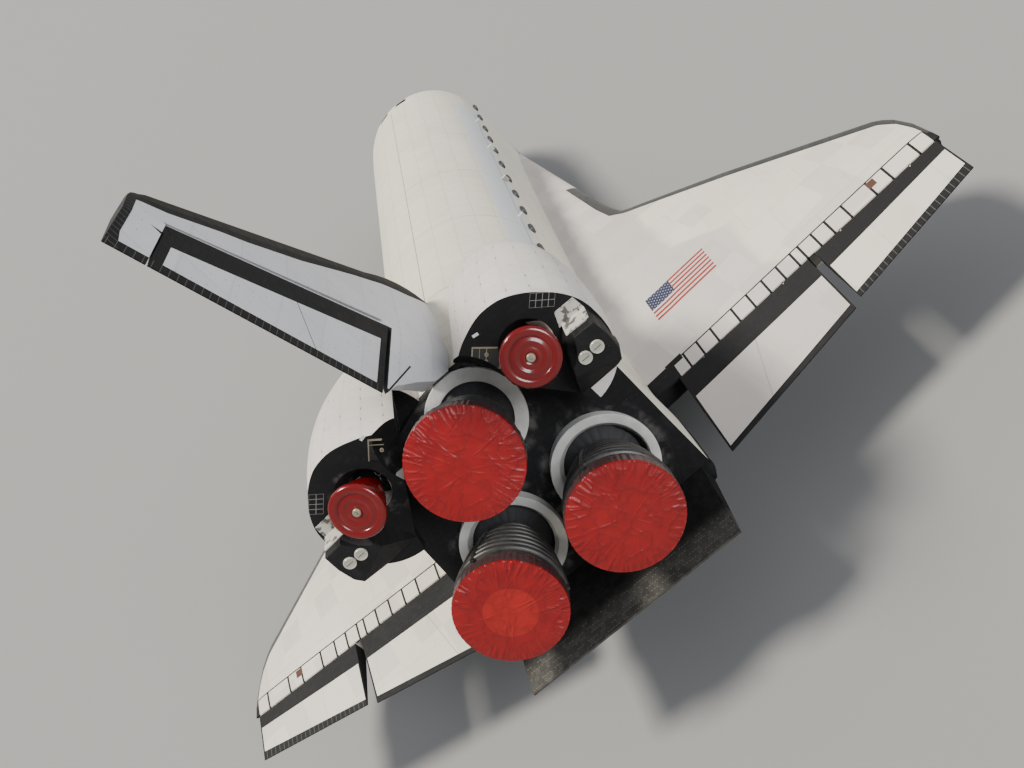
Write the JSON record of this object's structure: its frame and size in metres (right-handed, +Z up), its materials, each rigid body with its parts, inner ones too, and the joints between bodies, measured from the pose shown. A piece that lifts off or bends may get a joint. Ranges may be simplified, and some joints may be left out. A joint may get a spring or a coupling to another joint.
{
  "type": "space shuttle orbiter",
  "caption": "Winged reusable spacecraft parked on its landing gear, with opening payload bay doors, hinged control surfaces and covered engines.",
  "frame": {"origin": "on the floor under the middle of the bounding box", "axes": "+X to port, +Y aft, +Z up; the craft sits 3 degrees nose down on its gear"},
  "size_m": [23.7896, 36.5486, 16.969],
  "materials": {
    "blanket_white": "matt cream-white quilted blanket",
    "tile_white": "matt greyish-white tiles",
    "tile_black": "matt black tiles",
    "edge_grey": "satin dark grey",
    "window_black": "black frames, dark panes",
    "cabin_grey": "matt grey",
    "radiator_silver": "silvered sheet",
    "cover_red": "matt red woven cover",
    "plug_red": "gloss red",
    "nozzle_dark": "dark metal",
    "gear_steel": "painted light grey",
    "tyre_black": "worn rubber"
  },
  "bodies": {
    "airframe": {"nose_cap": "edge_grey", "forward_fuselage": "blanket_white", "forward_thruster_module": "blanket_white", "windshield": "window_black", "overhead_windows": "window_black", "flight_deck": "cabin_grey", "mid_fuselage": "blanket_white", "aft_fuselage": "tile_black", "vertical_fin": "tile_white", "wing_port": "tile_white", "wing_starboard": "tile_white", "leading_edge_port": "edge_grey", "leading_edge_starboard": "edge_grey", "pod_port": "tile_white", "pod_starboard": "tile_white", "nose_gear_leg": "gear_steel", "main_gear_leg_port": "gear_steel", "main_gear_leg_starboard": "gear_steel", "nose_gear_door_port": "tile_white", "nose_gear_door_starboard": "tile_white", "main_gear_door_port": "tile_white", "main_gear_door_starboard": "tile_white"},
    "payload_door_port": {"payload_door_port": "blanket_white", "radiator_port": "radiator_silver"},
    "payload_door_starboard": {"payload_door_starboard": "blanket_white", "radiator_starboard": "radiator_silver"},
    "side_hatch": {"side_hatch": "blanket_white"},
    "elevon_inboard_port": {"elevon_inboard_port": "tile_white"},
    "elevon_inboard_starboard": {"elevon_inboard_starboard": "tile_white"},
    "elevon_outboard_port": {"elevon_outboard_port": "tile_white"},
    "elevon_outboard_starboard": {"elevon_outboard_starboard": "tile_white"},
    "body_flap": {"body_flap": "tile_black"},
    "rudder_shaft": {"rudder_shaft": "gear_steel"},
    "rudder_panel_port": {"rudder_panel_port": "tile_white"},
    "rudder_panel_starboard": {"rudder_panel_starboard": "tile_white"},
    "engine_gimbal_upper": {"engine_gimbal_upper": "gear_steel"},
    "engine_nozzle_upper": {"engine_nozzle_upper": "nozzle_dark", "engine_cover_upper": "cover_red"},
    "engine_gimbal_port": {"engine_gimbal_port": "gear_steel"},
    "engine_nozzle_port": {"engine_nozzle_port": "nozzle_dark", "engine_cover_port": "cover_red"},
    "engine_gimbal_starboard": {"engine_gimbal_starboard": "gear_steel"},
    "engine_nozzle_starboard": {"engine_nozzle_starboard": "nozzle_dark", "engine_cover_starboard": "cover_red"},
    "pod_gimbal_port": {"pod_gimbal_port": "gear_steel"},
    "pod_nozzle_port": {"pod_nozzle_port": "nozzle_dark", "pod_plug_port": "plug_red"},
    "pod_gimbal_starboard": {"pod_gimbal_starboard": "gear_steel"},
    "pod_nozzle_starboard": {"pod_nozzle_starboard": "nozzle_dark", "pod_plug_starboard": "plug_red"},
    "nose_gear_fork": {"nose_gear_fork": "gear_steel"},
    "nose_wheels": {"nose_wheels": "tyre_black"},
    "main_wheels_port": {"main_wheels_port": "tyre_black"},
    "main_wheels_starboard": {"main_wheels_starboard": "tyre_black"}
  },
  "joints": [
    {"name": "payload_door_port_hinge", "type": "hinge", "parent": "airframe", "child": "payload_door_port", "pos_m": [2.72288, -0.57639, 6.10555], "axis": [0, 0.9986, 0.0527], "range_deg": [0, 175.5]},
    {"name": "payload_door_starboard_hinge", "type": "hinge", "parent": "airframe", "child": "payload_door_starboard", "pos_m": [-2.72288, -0.57639, 6.10555], "axis": [0, -0.9986, -0.0527], "range_deg": [0, 175.5]},
    {"name": "side_hatch_hinge", "type": "hinge", "parent": "airframe", "child": "side_hatch", "pos_m": [2.73304, -12.14059, 3.52675], "axis": [0, 0.9986, 0.0527], "range_deg": [0, 90]},
    {"name": "elevon_inboard_port_hinge", "type": "hinge", "parent": "airframe", "child": "elevon_inboard_port", "pos_m": [5.6896, 10.9327, 3.46136], "axis": [0.9986, -0.0028, 0.0535], "range_deg": [-10, 45]},
    {"name": "elevon_inboard_starboard_hinge", "type": "hinge", "parent": "airframe", "child": "elevon_inboard_starboard", "pos_m": [-5.6896, 10.9327, 3.46136], "axis": [0.9986, 0.0028, -0.0535], "range_deg": [-10, 45]},
    {"name": "elevon_outboard_port_hinge", "type": "hinge", "parent": "airframe", "child": "elevon_outboard_port", "pos_m": [9.906, 10.92078, 3.6873], "axis": [0.9986, -0.0028, 0.0535], "range_deg": [-13.5, 41.5]},
    {"name": "elevon_outboard_starboard_hinge", "type": "hinge", "parent": "airframe", "child": "elevon_outboard_starboard", "pos_m": [-9.906, 10.92078, 3.6873], "axis": [0.9986, 0.0028, -0.0535], "range_deg": [-13.5, 41.5]},
    {"name": "body_flap_hinge", "type": "hinge", "parent": "airframe", "child": "body_flap", "pos_m": [0, 14.5728, 3.40743], "axis": [1, 0, 0], "range_deg": [-22.55, 11.7]},
    {"name": "rudder_turn", "type": "hinge", "parent": "airframe", "child": "rudder_shaft", "pos_m": [0, 13.2614, 10.85438], "axis": [0, 0.5272, 0.8498], "range_deg": [-27.1, 27.1]},
    {"name": "speed_brake_port", "type": "hinge", "parent": "rudder_shaft", "child": "rudder_panel_port", "pos_m": [0, 13.2614, 10.85438], "axis": [0, -0.5272, -0.8498], "range_deg": [0, 49.3]},
    {"name": "speed_brake_starboard", "type": "hinge", "parent": "rudder_shaft", "child": "rudder_panel_starboard", "pos_m": [0, 13.2614, 10.85438], "axis": [0, 0.5272, 0.8498], "range_deg": [0, 49.3]},
    {"name": "engine_upper_pitch", "type": "hinge", "parent": "airframe", "child": "engine_gimbal_upper", "pos_m": [0, 12.19934, 7.41545], "axis": [1, 0, 0], "range_deg": [-10.5, 10.5]},
    {"name": "engine_upper_yaw", "type": "hinge", "parent": "engine_gimbal_upper", "child": "engine_nozzle_upper", "pos_m": [0, 12.19934, 7.41545], "axis": [0, -0.3259, 0.9454], "range_deg": [-8.5, 8.5]},
    {"name": "engine_port_pitch", "type": "hinge", "parent": "airframe", "child": "engine_gimbal_port", "pos_m": [1.3462, 12.92134, 4.90085], "axis": [0.9981, -0.061, -0.0032], "range_deg": [-10.5, 10.5]},
    {"name": "engine_port_yaw", "type": "hinge", "parent": "engine_gimbal_port", "child": "engine_nozzle_port", "pos_m": [1.3462, 12.92134, 4.90085], "axis": [-0.0106, -0.225, 0.9743], "range_deg": [-8.5, 8.5]},
    {"name": "engine_starboard_pitch", "type": "hinge", "parent": "airframe", "child": "engine_gimbal_starboard", "pos_m": [-1.3462, 12.92134, 4.90085], "axis": [0.9981, 0.061, 0.0032], "range_deg": [-10.5, 10.5]},
    {"name": "engine_starboard_yaw", "type": "hinge", "parent": "engine_gimbal_starboard", "child": "engine_nozzle_starboard", "pos_m": [-1.3462, 12.92134, 4.90085], "axis": [0.0106, -0.225, 0.9743], "range_deg": [-8.5, 8.5]},
    {"name": "pod_port_pitch", "type": "hinge", "parent": "airframe", "child": "pod_gimbal_port", "pos_m": [2.2352, 13.98539, 8.75601], "axis": [0.9936, -0.113, -0.006], "range_deg": [-6, 6]},
    {"name": "pod_port_yaw", "type": "hinge", "parent": "pod_gimbal_port", "child": "pod_nozzle_port", "pos_m": [2.2352, 13.98539, 8.75601], "axis": [-0.0308, -0.3208, 0.9466], "range_deg": [-7, 7]},
    {"name": "pod_starboard_pitch", "type": "hinge", "parent": "airframe", "child": "pod_gimbal_starboard", "pos_m": [-2.2352, 13.98539, 8.75601], "axis": [0.9936, 0.113, 0.006], "range_deg": [-6, 6]},
    {"name": "pod_starboard_yaw", "type": "hinge", "parent": "pod_gimbal_starboard", "child": "pod_nozzle_starboard", "pos_m": [-2.2352, 13.98539, 8.75601], "axis": [0.0308, -0.3208, 0.9466], "range_deg": [-7, 7]},
    {"name": "nose_gear_steering", "type": "hinge", "parent": "airframe", "child": "nose_gear_fork", "pos_m": [0, -14.63192, 1.09087], "axis": [0, -0.0527, 0.9986], "range_deg": [-10, 10]},
    {"name": "nose_wheels_spin", "type": "hinge", "parent": "nose_gear_fork", "child": "nose_wheels", "pos_m": [0, -14.59579, 0.40603], "axis": [1, 0, 0], "continuous": true},
    {"name": "main_wheels_port_spin", "type": "hinge", "parent": "airframe", "child": "main_wheels_port", "pos_m": [3.4544, 5.61694, 0.56437], "axis": [1, 0, 0], "continuous": true},
    {"name": "main_wheels_starboard_spin", "type": "hinge", "parent": "airframe", "child": "main_wheels_starboard", "pos_m": [-3.4544, 5.61694, 0.56437], "axis": [1, 0, 0], "continuous": true}
  ],
  "couplings": [
    {"joint": "speed_brake_starboard", "follows": "speed_brake_port", "ratio": 1}
  ]
}
